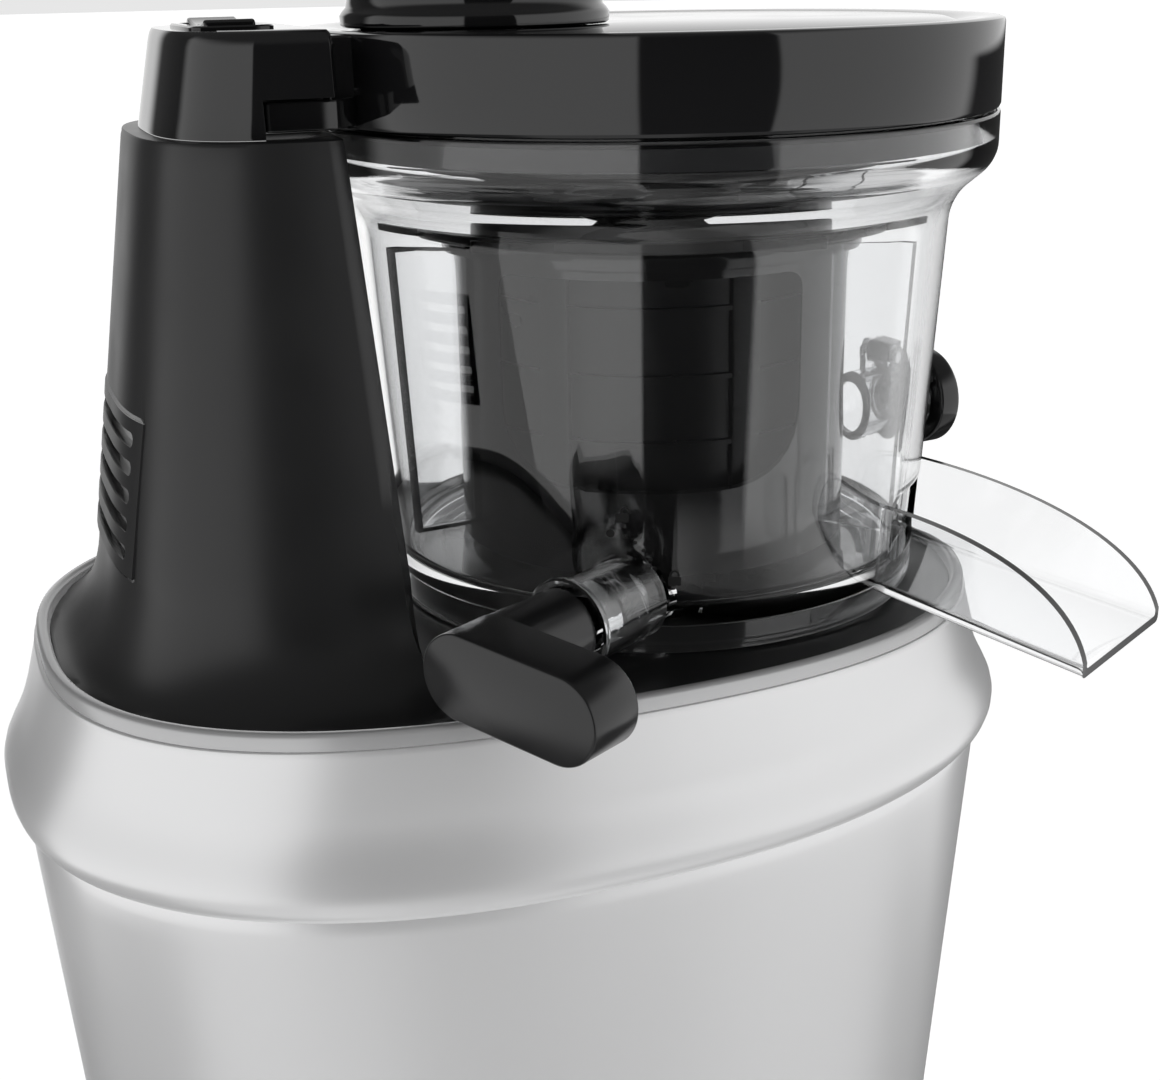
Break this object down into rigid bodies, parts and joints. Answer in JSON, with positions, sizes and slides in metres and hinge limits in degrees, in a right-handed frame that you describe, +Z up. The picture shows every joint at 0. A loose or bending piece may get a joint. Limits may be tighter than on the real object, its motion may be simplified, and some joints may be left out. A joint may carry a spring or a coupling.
{
  "type": "vertical slow juicer",
  "caption": "Upright slow juicer: oval satin silver base, black tower, clear bowl with strainer and screw, locking lid with feed chute, pulp chute, lever and juice outlet.",
  "frame": {"origin": "centre of the oval base in the plane of the foot ring's underside", "axes": "+Z up, +X from the tower towards the bowl along the oval's long axis, +Y to the back; the lever and the pulp chute are on the -Y side"},
  "size_m": [0.2366, 0.184, 0.394],
  "materials": {
    "silver_shell": "satin silver paint",
    "light_trim": "semi-gloss light grey",
    "matte_black": "fine matte texture",
    "gloss_black": "high gloss",
    "clear_plastic": "polished clear, faint smoke tint",
    "dark_plastic": "satin dark grey",
    "silicone": "soft satin",
    "rubber_black": "matte",
    "steel": "brushed",
    "lamination": "stacked sheet edges",
    "copper": "enamelled wire",
    "aluminium": "die cast",
    "acetal": "natural acetal",
    "circuit": "solder mask"
  },
  "bodies": {
    "base": {"base_housing": "silver_shell", "rim_trim": "light_trim", "bottom_cover": "matte_black", "foot_ring": "rubber_black", "tower_housing": "matte_black", "vent_grille": "matte_black", "tower_cap": "gloss_black", "switch_bezel": "gloss_black", "switch_body": "dark_plastic", "lid_sensor": "dark_plastic", "bowl_seat": "matte_black", "gearbox_housing": "aluminium", "gearbox_cover": "aluminium", "gearbox_screws": "steel", "intermediate_pin": "steel", "output_bearing": "steel", "shaft_seal": "silicone", "motor_can": "steel", "stator_core": "lamination", "stator_windings": "copper", "motor_bracket_top": "aluminium", "motor_bracket_bottom": "aluminium", "motor_bearings": "steel", "control_board": "circuit", "board_posts": "dark_plastic", "motor_capacitor": "gloss_black", "bottom_screws": "steel", "cord_inlet": "rubber_black", "juice_bowl": "clear_plastic", "lever_nozzle": "clear_plastic", "juice_spout": "clear_plastic", "pulp_chute": "clear_plastic", "cap_hinge_pin": "steel", "idler_pin": "steel", "bowl_floor_seal": "silicone", "strainer_frame": "dark_plastic", "strainer_screen": "steel"},
    "rotor": {"rotor_core": "lamination", "motor_shaft": "steel", "cooling_fan": "dark_plastic"},
    "intermediate": {"intermediate_gear": "acetal"},
    "output": {"output_gear": "steel", "drive_shaft": "steel"},
    "auger": {"auger": "dark_plastic", "auger_socket": "steel", "auger_gear": "acetal"},
    "idler": {"idler_gear": "acetal"},
    "brush": {"brush_frame": "dark_plastic", "brush_wipers": "silicone"},
    "lid": {"lid": "gloss_black", "lid_magnet": "steel", "lid_seal": "silicone", "feed_chute": "gloss_black"},
    "pusher": {"pusher": "gloss_black"},
    "lever": {"control_lever": "gloss_black", "lever_plug": "dark_plastic"},
    "juice_cap": {"juice_cap": "gloss_black", "juice_cap_plug": "silicone"},
    "rocker": {"power_rocker": "gloss_black"}
  },
  "joints": [
    {"name": "rotor_spin", "type": "hinge", "parent": "base", "child": "rotor", "pos_m": [-0.04275, 0, 0.09], "axis": [0, 0, 1], "continuous": true},
    {"name": "intermediate_spin", "type": "hinge", "parent": "base", "child": "intermediate", "pos_m": [-0.00775, 0, 0.15], "axis": [0, 0, 1], "continuous": true},
    {"name": "output_spin", "type": "hinge", "parent": "base", "child": "output", "pos_m": [0.036, 0, 0.157], "axis": [0, 0, 1], "continuous": true},
    {"name": "auger_spin", "type": "hinge", "parent": "base", "child": "auger", "pos_m": [0.036, 0, 0.23], "axis": [0, 0, 1], "continuous": true},
    {"name": "idler_spin", "type": "hinge", "parent": "base", "child": "idler", "pos_m": [0.036, 0.02625, 0.1915], "axis": [0, 0, 1], "continuous": true},
    {"name": "brush_spin", "type": "hinge", "parent": "base", "child": "brush", "pos_m": [0.036, 0, 0.22], "axis": [0, 0, 1], "continuous": true},
    {"name": "lid_twist", "type": "hinge", "parent": "base", "child": "lid", "pos_m": [0.036, 0, 0.289], "axis": [0, 0, 1], "range_deg": [0, 38]},
    {"name": "pusher_slide", "type": "slide", "parent": "lid", "child": "pusher", "axis": [0, 0, 1], "range_m": [0, 0.06]},
    {"name": "lever_turn", "type": "hinge", "parent": "base", "child": "lever", "pos_m": [-0.0346, -0.07771, 0.189], "axis": [-0.866, -0.5, 0], "range_deg": [0, 90]},
    {"name": "juice_cap_flip", "type": "hinge", "parent": "base", "child": "juice_cap", "pos_m": [0.10809, 0.01013, 0.2166], "axis": [0.1392, -0.9903, 0], "range_deg": [0, 110]},
    {"name": "power_rocker_tilt", "type": "hinge", "parent": "base", "child": "rocker", "pos_m": [-0.055, 0, 0.296], "axis": [1, 0, 0], "range_deg": [-8, 8]}
  ],
  "couplings": [
    {"joint": "intermediate_spin", "follows": "rotor_spin", "ratio": -0.25},
    {"joint": "output_spin", "follows": "rotor_spin", "ratio": 0.0625},
    {"joint": "auger_spin", "follows": "rotor_spin", "ratio": 0.0625},
    {"joint": "idler_spin", "follows": "rotor_spin", "ratio": -0.083333},
    {"joint": "brush_spin", "follows": "rotor_spin", "ratio": -0.025}
  ]
}
